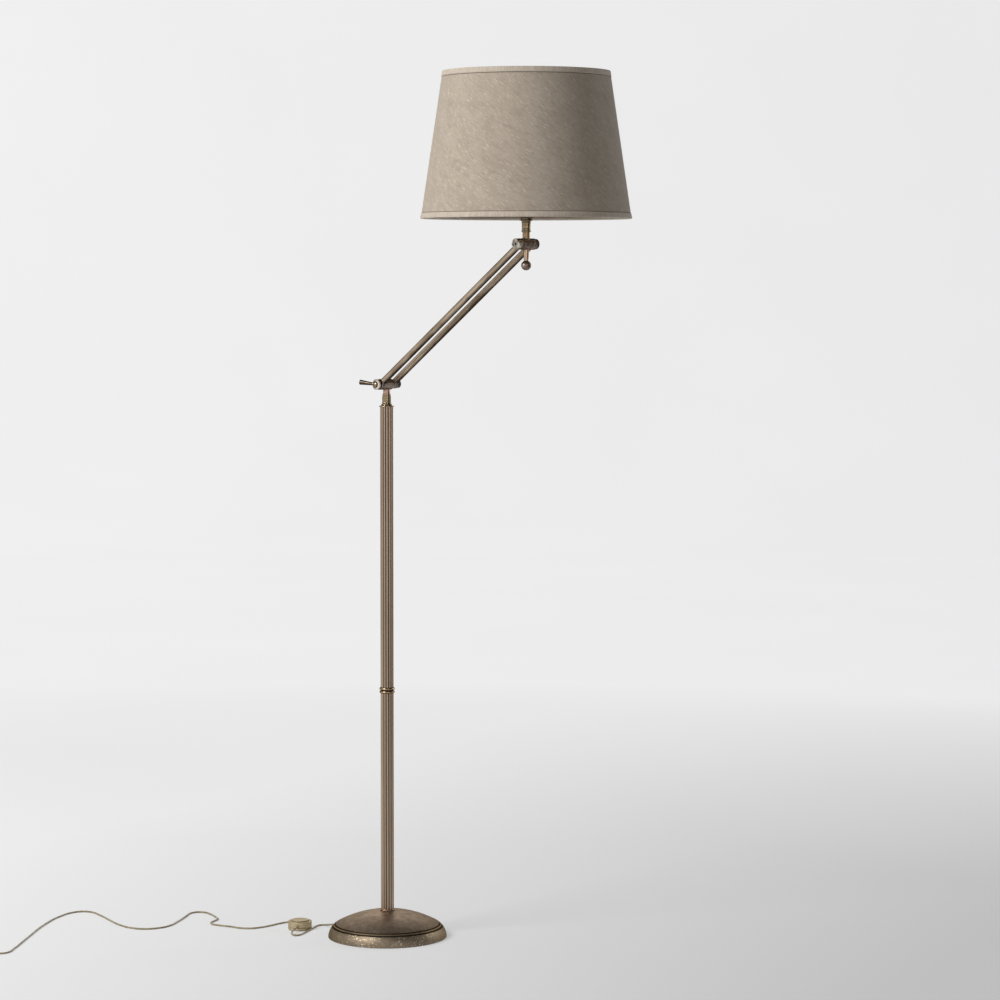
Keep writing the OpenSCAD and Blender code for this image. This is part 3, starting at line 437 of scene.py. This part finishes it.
def linen(name, ground, deep, slub, knot, tape_shadow_lines=()):
    """Linen cut on the bias: short pale slubs and soft darker streaks that fall to the right.

    The piece's UV map is in metres on the cloth, its V up the drum."""
    finish = Finish(name, roughness=0.9, Sheen_Weight=0.12, Sheen_Roughness=0.5)
    run, cross = (0, 0, BIAS), (0, 0, BIAS + math.radians(90))
    thread = finish.noise(finish.place((0.14, 1, 1), run, "UV"), 0.0006, detail=3, roughness=0.6)
    weft = finish.noise(finish.place((0.14, 1, 1), cross, "UV"), 0.0006, detail=3, roughness=0.6)
    slubs = finish.noise(finish.place((0.13, 1, 1), run, "UV"), 0.0009, detail=1, roughness=0.5)
    patch = finish.noise(finish.place((0.6, 1, 1), run, "UV"), 0.016, detail=3, roughness=0.6)
    smear = finish.noise(finish.place((0.25, 1, 1), run, "UV"), 0.004, detail=3, roughness=0.6)
    colour = finish.blend(finish.span(thread, 0.3, 0.7, 0, 0.4), ground, deep)
    colour = finish.blend(finish.span(weft, 0.45, 0.75, 0, 0.3), colour, deep)
    colour = finish.blend(finish.span(smear, 0.45, 0.72, 0, 0.45), colour, deep)
    colour = finish.blend(finish.span(patch, 0.4, 0.66, 0, 0.36), colour, deep)
    colour = finish.blend(finish.span(slubs, 0.35, 0.28, 0, 0.5), colour, knot)
    colour = finish.blend(finish.span(slubs, 0.63, 0.71, 0, 0.7), colour, slub)
    colour = finish.blend(finish.span(weft, 0.7, 0.8, 0, 0.4), colour, slub)
    height = finish.along((0, 1, 0), "UV")
    # painted shadow: thin dark lines on the cloth along the tapes' edges
    for line in tape_shadow_lines:
        shadow = finish.band(height, line - 0.0006, line + 0.0006, 0.0009)
        colour = finish.blend(finish.maths("MULTIPLY", shadow, 0.8), colour, srgb(84, 72, 60))
    finish.colour(colour)
    finish.bump(finish.maths("ADD", thread, finish.maths("ADD", slubs, weft)), 0.0002)
    return finish


def tape(name, ground, deep):
    """Folded linen tape: fine ribs across its width and a soft mottle."""
    finish = Finish(name, roughness=0.85, Sheen_Weight=0.15, Sheen_Roughness=0.5)
    ribs = finish.noise(finish.place((1, 0.08, 1), source="UV"), 0.0009, detail=2, roughness=0.5)
    mottle = finish.noise(finish.place(source="UV"), 0.006, detail=4, roughness=0.6)
    colour = finish.blend(finish.span(ribs, 0.35, 0.65, 0, 0.6), ground, deep)
    colour = finish.blend(finish.span(mottle, 0.45, 0.7, 0, 0.35), colour, deep)
    finish.colour(colour)
    finish.bump(ribs, 0.00015)
    return finish


TAPE_W = 10*MM
# Colours of specks and edges of wear, which also carry a painted highlight along the edges
GOLD_WEAR_AND_GLINT = srgb(204, 180, 132)
PALE_WEAR_AND_GLINT = srgb(206, 200, 186)
ARM_RISE = math.radians(35.3)
ARM_TILT = (0, math.radians(90) - ARM_RISE, 0)
ARM_UP = (-math.sin(ARM_RISE), 0, math.cos(ARM_RISE))

# Turned grooves of the base: radius of the outer one, and the step in to the other
GROOVE_R = 115.5*MM
GROOVE_STEP = 4.8*MM

lower_pivot_z = sum(corner.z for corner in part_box("lower_bushes"))/2
upper_pivot_z = sum(corner.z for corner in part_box("upper_bushes"))/2


def base_finish():
    """Dome of the base: satin brown-grey, speckled gold at the rim, with painted shade along its two turned
    grooves.
    """
    finish = Finish("base_bronze", metallic=1.0, Specular_Tint=DULL_EDGE)
    place = finish.place()
    clouds = finish.noise(place, 0.05, detail=4, roughness=0.6)
    mottle = finish.noise(place, 0.006, detail=4, roughness=0.65)
    reach = finish.away_from((0, 0, 0))
    rim = finish.span(reach, 0.09, 0.118)
    colour = finish.blend(rim, srgb(180, 163, 146), srgb(132, 119, 99))
    colour = finish.blend(finish.span(clouds, 0.36, 0.64, 0, 0.6), colour, srgb(134, 118, 104))
    colour = finish.blend(finish.span(mottle, 0.4, 0.75, 0, 0.5), colour, srgb(108, 92, 78))
    specks = finish.noise(place, 0.0015, detail=2, roughness=0.6)
    drift = finish.noise(place, 0.022, detail=2, roughness=0.5)
    thick = finish.maths("MULTIPLY", finish.span(drift, 0.42, 0.62, 0.15, 1),
                         finish.span(rim, 0, 1, 0.55, 0.9))
    amount = finish.maths("MULTIPLY", finish.span(specks, 0.57, 0.67), thick)
    colour = finish.blend(amount, colour, srgb(222, 208, 180))
    # painted shade: dark lines along the two turned grooves
    for groove in (GROOVE_R, GROOVE_R - GROOVE_STEP):
        line = finish.band(reach, groove - 0.0012, groove + 0.0012, 0.0004)
        colour = finish.blend(finish.maths("MULTIPLY", line, 0.9), colour, srgb(38, 30, 22))
    middle = GROOVE_R - GROOVE_STEP/2
    line = finish.band(reach, middle - 0.0005, middle + 0.0005, 0.0004)
    colour = finish.blend(finish.maths("MULTIPLY", line, 0.6), colour, srgb(172, 150, 110))
    finish.colour(colour)
    finish.roughness(finish.span(finish.noise(place, 0.01, detail=4), 0.3, 0.7, 0.42, 0.56))
    finish.bump(finish.noise(place, 0.0011, detail=3, roughness=0.6), 0.00005)
    return finish


def lever_finish(pivot_z):
    """Dark bronze lever whose hub face has a painted highlight, pale on its right and dimmer on its left,
    round a centre painted dark as shade.
    """
    finish = aged_metal("lever_bronze", srgb(84, 74, 62), srgb(46, 39, 32), srgb(176, 162, 138),
                        (0.22, 0.36), cloud=0.01, speckle=0.3)
    shader = finish.shader.inputs["Base Color"]
    plain = shader.links[0].from_socket
    off = finish.away_from((0, 0, pivot_z), (1, 0, 1))
    front = finish.span(finish.along((0, 1, 0)), -0.0262, -0.0272)
    face = finish.maths("MULTIPLY", finish.band(off, 0.0066, 0.0112, 0.0006), front)
    across = finish.along((1, 0, 0))
    face = finish.maths("MULTIPLY", face, finish.span(across, -0.0085, -0.0075))
    # painted highlight: the hub face grows pale to the right and stays dimmer to the left
    pale = finish.blend(finish.span(across, -0.004, 0.005), srgb(150, 138, 124), srgb(236, 228, 214))
    colour = finish.blend(finish.maths("MULTIPLY", face, 0.9), plain, pale)
    # painted shade in the hub's recess
    recess = finish.maths("MULTIPLY", finish.span(off, 0.0066, 0.0062),
                          finish.span(finish.along((0, 1, 0)), -0.028, -0.029))
    finish.colour(finish.blend(recess, colour, srgb(28, 24, 20)))
    return finish


def make_finishes():
    """One finish for each material slot of the frame, and those that OWN_FINISH names."""
    low, top = lower_pivot_z, upper_pivot_z
    coppery = srgb(206, 160, 134)
    brass = srgb(178, 146, 108)
    shade_low, shade_high = (corner.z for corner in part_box("shade_drum"))
    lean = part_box("shade_drum")[1].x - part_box("shade_trim_top")[1].x
    side = math.hypot(shade_high - shade_low, lean)
    return {
        "bronze": aged_metal("bronze", srgb(180, 162, 150), srgb(118, 103, 94), PALE_WEAR_AND_GLINT, (0.3, 0.42),
                             cloud=0.009, tint=BLACK_EDGE, rim=0.0012),
        "antique_brass": drawn_metal("antique_brass", srgb(198, 178, 160), srgb(150, 130, 114), GOLD_WEAR_AND_GLINT,
                                     (0.24, 0.36), tarnished=0.3, speckle=0.0),
        "patina_brass": aged_metal("patina_brass", srgb(192, 174, 162), srgb(118, 103, 94), PALE_WEAR_AND_GLINT,
                                   (0.22, 0.36), cloud=0.009, speckle=0.4, tint=BLACK_EDGE, rim=0.0012,
                                   bands=((low - 0.0245, low - 0.0201, 0.0002, coppery, 0.95),
                                          (low - 0.0199, low - 0.0112, 0.0006, srgb(204, 166, 144), 0.9),
                                          (top + 0.0115, top + 0.03, 0.0006, brass, 0.9),
                                          (top - 0.04, top - 0.0115, 0.0006, srgb(206, 176, 146), 0.9))),
        "copper": aged_metal("copper", srgb(200, 166, 138), srgb(160, 126, 100), srgb(222, 194, 166),
                             (0.28, 0.4)),
        "bush_brass": drawn_metal("bush_brass", srgb(196, 170, 110), srgb(160, 132, 80), GOLD_WEAR_AND_GLINT),
        "iron": aged_metal("iron", srgb(70, 66, 62), srgb(48, 45, 42), srgb(110, 104, 98), (0.55, 0.75)),
        "steel": aged_metal("steel", srgb(176, 174, 170), srgb(140, 138, 134), srgb(215, 213, 208),
                            (0.25, 0.4), speckle=0.1),
        "black_metal": moulded("black_metal", srgb(24, 22, 20), srgb(16, 15, 14), 0.26,
                               Specular_IOR_Level=0.6),
        "olive_plastic": aged_metal("olive_gold", srgb(196, 181, 148), srgb(166, 150, 116),
                                    srgb(216, 204, 174), (0.4, 0.5), speckle=0.2, metallic=0.6, grime_and_shade=0.6),
        "felt": moulded("felt", srgb(52, 60, 50), srgb(38, 46, 38), 0.95, 0.0012, 0.0003),
        "black_rubber": moulded("black_rubber", srgb(34, 32, 30), srgb(26, 25, 24), 0.7),
        "black_plastic": moulded("black_plastic", srgb(30, 29, 28), srgb(22, 21, 21), 0.38),
        "ceramic": moulded("ceramic", srgb(232, 228, 218), srgb(222, 216, 204), 0.3),
        "wire": moulded("wire", srgb(200, 180, 130), srgb(186, 166, 118), 0.4),
        "frame_wire": moulded("frame_wire", srgb(232, 230, 224), srgb(218, 214, 206), 0.4),
        "frosted_glass": moulded("frosted_glass", srgb(238, 238, 234), srgb(228, 228, 222), 0.4,
                                 Transmission_Weight=0.35),
        "cord": moulded("cord", srgb(172, 158, 128), srgb(134, 120, 92), 0.36, 0.004),
        "linen": linen("linen", srgb(188, 175, 159), srgb(156, 142, 126), srgb(220, 208, 190),
                       srgb(126, 112, 96), (TAPE_W + 0.0006, side - TAPE_W - 0.0006)),
        "linen_tape": tape("linen_tape", srgb(206, 193, 177), srgb(170, 156, 140)),
        "base": base_finish(),
        # the arm tubes carry painted shade on their upper and lower sides
        "arm": drawn_metal("arm_patina", srgb(196, 178, 156), srgb(112, 94, 76), PALE_WEAR_AND_GLINT, (0.2, 0.32),
                           axis=ARM_TILT, tarnished=0.8, tint=BLACK_EDGE, shaded_side=ARM_UP),
        "reeded": reeded_metal("reeded_brass", srgb(192, 172, 152), srgb(142, 121, 102)),
        "turned": turned_metal("turned_brass", srgb(168, 146, 116), srgb(100, 82, 62), srgb(216, 200, 168)),
        "lever": lever_finish(low),
        "marbled": aged_metal("marbled", srgb(226, 216, 200), srgb(112, 98, 88), srgb(240, 232, 218),
                              (0.2, 0.4), cloud=0.004, speckle=0.3, grime_and_shade=0.5),
    }


# Nodes whose finish differs from the others of their slot
OWN_FINISH = {
    "column_lower": "reeded", "column_upper": "reeded",
    "base_shell": "base", "arm_tube_front": "arm", "arm_tube_rear": "arm", "clamp_lever": "lever",
    "upper_cap_disc": "marbled", "stem_collar": "turned", "holder_cup": "turned",
    "column_cap": "turned", "column_coupler": "turned", "lever_button": "turned",
}
FINISHES = make_finishes()


def paint_frame():
    """Gives every CAD node its own finish or that of its material slot."""
    for name, node in NODES.items():
        for slot in node.material_slots:
            kind = OWN_FINISH.get(name, slot.material.name.split(".")[0])
            slot.material = FINISHES[kind].material


paint_frame()
for made in (lead_cord, main_cord):
    made.data.materials.append(FINISHES["cord"].material)


# ---------------------------------------------------------------- shade

SHADE_WALL = 1.2*MM
SHADE_STEPS = 240
SEAM_AT = math.radians(135)
TAPE_T = 0.8*MM
BOTTOM_TAPE_T = 1.5*MM
WIRE_R = 2*MM
WIRE_UP = 3.2*MM


def revolve(name, outline, centre_x, slot):
    """Closed ring of revolution of an outline of (radius, z), with a UV map in metres."""
    mesh = bpy.data.meshes.new(name)
    bm = bmesh.new()
    rings = []
    for i in range(SHADE_STEPS):
        angle = 2*math.pi*i/SHADE_STEPS + SEAM_AT
        rings.append([bm.verts.new((centre_x + r*math.cos(angle), r*math.sin(angle), z))
                      for r, z in outline])
    uv = bm.loops.layers.uv.new("cloth")
    run = [0.0]
    for (r0, z0), (r1, z1) in zip(outline, outline[1:] + outline[:1]):
        run.append(run[-1] + math.hypot(r1 - r0, z1 - z0))
    middle_r = sum(r for r, z in outline)/len(outline)
    for i in range(SHADE_STEPS):
        here, there = rings[i], rings[(i + 1) % SHADE_STEPS]
        for j in range(len(outline)):
            k = (j + 1) % len(outline)
            face = bm.faces.new((here[j], there[j], there[k], here[k]))
            face.smooth = True
            across = [i, i + 1, i + 1, i]
            up = [run[j], run[j], run[j + 1], run[j + 1]]
            for loop, a, b in zip(face.loops, across, up):
                loop[uv].uv = (a/SHADE_STEPS*2*math.pi*middle_r, b)
    bmesh.ops.recalc_face_normals(bm, faces=bm.faces)
    bm.to_mesh(mesh)
    bm.free()
    piece = bpy.data.objects.new(name, mesh)
    scene.collection.objects.link(piece)
    mesh.materials.append(FINISHES[slot].material)
    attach(piece, "head")
    return piece


def make_shade():
    """Linen drum and the two tapes folded over its edges and frame wires."""
    low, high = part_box("shade_drum")
    top_low, top_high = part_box("shade_trim_top")
    centre = (low.x + high.x)/2
    bottom_r = (high.x - low.x)/2
    top_r = (top_high.x - top_low.x)/2 - TAPE_T

    def radius(z):
        return bottom_r + (top_r - bottom_r)*(z - low.z)/(high.z - low.z)

    rows = 24
    heights = [low.z + (high.z - low.z)*i/rows for i in range(rows + 1)]
    outline = [(radius(z), z) for z in heights] + [(radius(z) - SHADE_WALL, z) for z in reversed(heights)]
    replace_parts(revolve("shade_fabric", outline, centre, "linen"), "shade_drum")

    for name, node, edge, up, thick in (("tape_bottom", "shade_trim_bottom", low.z, 1, BOTTOM_TAPE_T),
                                        ("tape_top", "shade_trim_top", high.z, -1, TAPE_T)):
        far = edge + up*TAPE_W
        wire_z = edge + up*WIRE_UP
        wire_r = radius(wire_z) - SHADE_WALL - WIRE_R - 0.2*MM
        shell = WIRE_R + TAPE_T
        outline = [(radius(far) + 0.05*MM, far + up*0.3*MM), (radius(far) + TAPE_T, far)]
        for share in (0.75, 0.5, 0.25, 0.08):
            z = edge + up*TAPE_W*share
            outline.append((radius(z) + thick + (TAPE_T - thick)*share, z))
        outline += [(radius(edge) + 0.4*MM, edge - up*0.6*MM), (radius(edge) - SHADE_WALL, edge - up*TAPE_T)]
        for step in range(7):
            turn = math.radians(300 - 30*step)
            outline.append((wire_r + shell*math.cos(turn), wire_z + up*shell*math.sin(turn)))
        outline += [(radius(far) - SHADE_WALL - TAPE_T, far),
                    (radius(far) - SHADE_WALL - 0.05*MM, far + up*0.3*MM)]
        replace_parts(revolve(name, outline, centre, "linen_tape"), node)


make_shade()


# ---------------------------------------------------------------- stage and light

PAPER = (0.86, 0.86, 0.86, 1)
PALE = {"left": srgb(241, 241, 241), "right": srgb(234, 234, 234)}
FLOOR_GLOW = 0.45    # share of the plain tone in the floor near the lamp, the rest being lit
# The backdrop: front and back end of the floor, the bend's radius, the top and half the width
STAGE_NEAR, STAGE_FAR, STAGE_BEND, STAGE_TOP, STAGE_HALF = -14.0, 9.5, 2.5, 9.0, 14.0


def mix_of(finish, factor, a, b):
    mix = finish.node("ShaderNodeMixShader")
    finish.feed(mix.inputs[0], factor)
    finish.feed(mix.inputs[1], a)
    finish.feed(mix.inputs[2], b)
    return mix.outputs["Shader"]


def seen_ray(finish):
    """1 for rays from the camera, and for those that reach it by gloss or glass."""
    path = finish.node("ShaderNodeLightPath")
    either = finish.maths("MAXIMUM", path.outputs["Is Camera Ray"], path.outputs["Is Glossy Ray"])
    return finish.maths("MAXIMUM", either, path.outputs["Is Transmission Ray"])


def make_stage():
    """Pale floor that curves up into a wall far behind the lamp, with painted shading that makes it darker
    to the right in front.
    """
    line = [(STAGE_NEAR, 0), (STAGE_FAR, 0)]
    for i in range(1, 17):
        turn = math.radians(90*i/16)
        line.append((STAGE_FAR + STAGE_BEND*math.sin(turn), STAGE_BEND*(1 - math.cos(turn))))
    line.append((STAGE_FAR + STAGE_BEND, STAGE_TOP))
    mesh = bpy.data.meshes.new("backdrop")
    verts = [AHEAD*s + RIGHT*w + Vector((0, 0, z)) for s, z in line for w in (-STAGE_HALF, STAGE_HALF)]
    faces = [(2*i, 2*i + 1, 2*i + 3, 2*i + 2) for i in range(len(line) - 1)]
    mesh.from_pydata(verts, [], faces)
    for face in mesh.polygons:
        face.use_smooth = True
    backdrop = bpy.data.objects.new("backdrop", mesh)
    scene.collection.objects.link(backdrop)

    paper = Finish("backdrop", PAPER, roughness=1.0, Specular_IOR_Level=0.0)
    depth, side = paper.along(AHEAD), paper.along(RIGHT)
    slope = paper.maths("SUBTRACT", paper.maths("MULTIPLY", depth, 0.55), side)
    grain = paper.span(paper.noise(paper.place(), 0.5), 0.3, 0.7, 0.985, 1.0)
    # painted shading: the floor's seen glow dims to the right in front, as light falling from the left would
    near_glow = paper.span(slope, -1.3, 1.5, 0.64, 1.36)
    far_glow = paper.span(slope, -1.3, 1.5, 0.55, 1.0)
    distant = paper.span(depth, 1.2, 4.5)
    outer = paper.span(paper.away_from((0, 0, 0)), 1.4, 4.2)
    plain = paper.between(outer, paper.between(distant, near_glow, far_glow), 1.0)
    shine = paper.node("ShaderNodeEmission")
    # painted light: the seen glow is a touch paler on the left
    paper.feed(shine.inputs["Color"], paper.blend(paper.span(side, -3, 3), PALE["left"], PALE["right"]))
    paper.feed(shine.inputs["Strength"], paper.maths("MULTIPLY", plain, grain))
    output = paper.tree.nodes["Material Output"]
    share = paper.span(paper.maths("MAXIMUM", distant, outer), 0, 1, FLOOR_GLOW, 1.0)
    shown = paper.maths("MULTIPLY", share, seen_ray(paper))
    paper.feed(output.inputs["Surface"], mix_of(paper, shown, paper.shader.outputs[0], shine.outputs[0]))
    mesh.materials.append(paper.material)


# The flag's distance to the right of the lamp, its front and back end, its height, the length of
# its fade, and its tone at the ends and in the middle
FLAG_SIDE = 2.1
FLAG_DEPTH = (-3.6, 0.6)
FLAG_TOP = 3.0
FLAG_FADE = 2.0
FLAG_PALE = 0.8
FLAG_DARK = 0.1


def make_flag():
    """Dark studio flag to the right of the lamp, soft at its edges, that only reflections show."""
    near, far = FLAG_DEPTH
    corners = [AHEAD*s + RIGHT*FLAG_SIDE + Vector((0, 0, z))
               for s, z in ((near, 0.02), (far, 0.02), (far, FLAG_TOP), (near, FLAG_TOP))]
    mesh = bpy.data.meshes.new("flag")
    mesh.from_pydata(corners, [], [(0, 1, 2, 3)])
    flag = bpy.data.objects.new("flag", mesh)
    flag.visible_camera = False
    flag.visible_shadow = False
    flag.visible_diffuse = False
    scene.collection.objects.link(flag)
    dusk = Finish("flag", (0, 0, 0, 1), 1.0, Specular_IOR_Level=0.0, Emission_Color=(1, 1, 1, 1))
    depth = dusk.along(AHEAD)
    near_fade = dusk.span(depth, near, near + FLAG_FADE, FLAG_PALE, FLAG_DARK)
    far_fade = dusk.span(depth, far - FLAG_FADE/2, far, FLAG_DARK, FLAG_PALE)
    dusk.feed(dusk.shader.inputs["Emission Strength"], dusk.maths("MAXIMUM", near_fade, far_fade))
    mesh.materials.append(dusk.material)


AIM = Vector((0.1, 0, 0.9))
LIGHT_AWAY = 5.0


def area_light(name, direction, size, power, height=None):
    """Light aimed at the lamp from LIGHT_AWAY metres: round, or an upright strip of that height."""
    data = bpy.data.lights.new(name, "AREA")
    data.shape = "ELLIPSE" if height else "DISK"
    data.size = size
    if height:
        data.size_y = height
    data.energy = power
    light = bpy.data.objects.new(name, data)
    light.location = AIM + direction.normalized()*LIGHT_AWAY
    light.rotation_euler = (-direction).to_track_quat("-Z", "Y").to_euler()
    scene.collection.objects.link(light)


def toward(azimuth, elevation):
    """Direction from the lamp, azimuth degrees to the left of the camera and elevation up."""
    a, e = math.radians(azimuth), math.radians(elevation)
    return (-AHEAD*math.cos(a) - RIGHT*math.sin(a))*math.cos(e) + Vector((0, 0, math.sin(e)))


# Strength of the sky's light from each side
WORLD_LEFT = 0.40
WORLD_RIGHT = 0.02
# Upward part of the direction at which the seen sky starts and ends its fade, and its tone at each
CEILING = (0.42, 0.66, 1.0, 0.12)


def make_world():
    """Sky that lights more from the left, and shows pale and plain where it is seen."""
    world = bpy.data.worlds.new("studio")
    world.use_nodes = True
    sky = Nodes(world.node_tree)
    background = sky.tree.nodes["Background"]
    left = sky.along(-RIGHT, "Generated")
    strength = sky.span(left, -1, 1, WORLD_RIGHT, WORLD_LEFT)
    ceiling = sky.span(sky.along((0, 0, 1), "Generated"), *CEILING)
    sky.feed(background.inputs["Color"], sky.blend(sky.span(left, -0.3, 0.3), PALE["right"], PALE["left"]))
    sky.feed(background.inputs["Strength"], sky.between(seen_ray(sky), strength, ceiling))
    scene.world = world


def make_lights():
    area_light("key", toward(54, 35), 2.4, 185)
    area_light("fill", toward(-118, 15), 1.8, 36)
    area_light("back", toward(176, 28), 2.4, 26)
    area_light("strip", toward(-26, 8), 0.25, 7, height=3.2)
    make_world()


make_stage()
make_flag()
make_lights()

scene.view_settings.view_transform = "Standard"
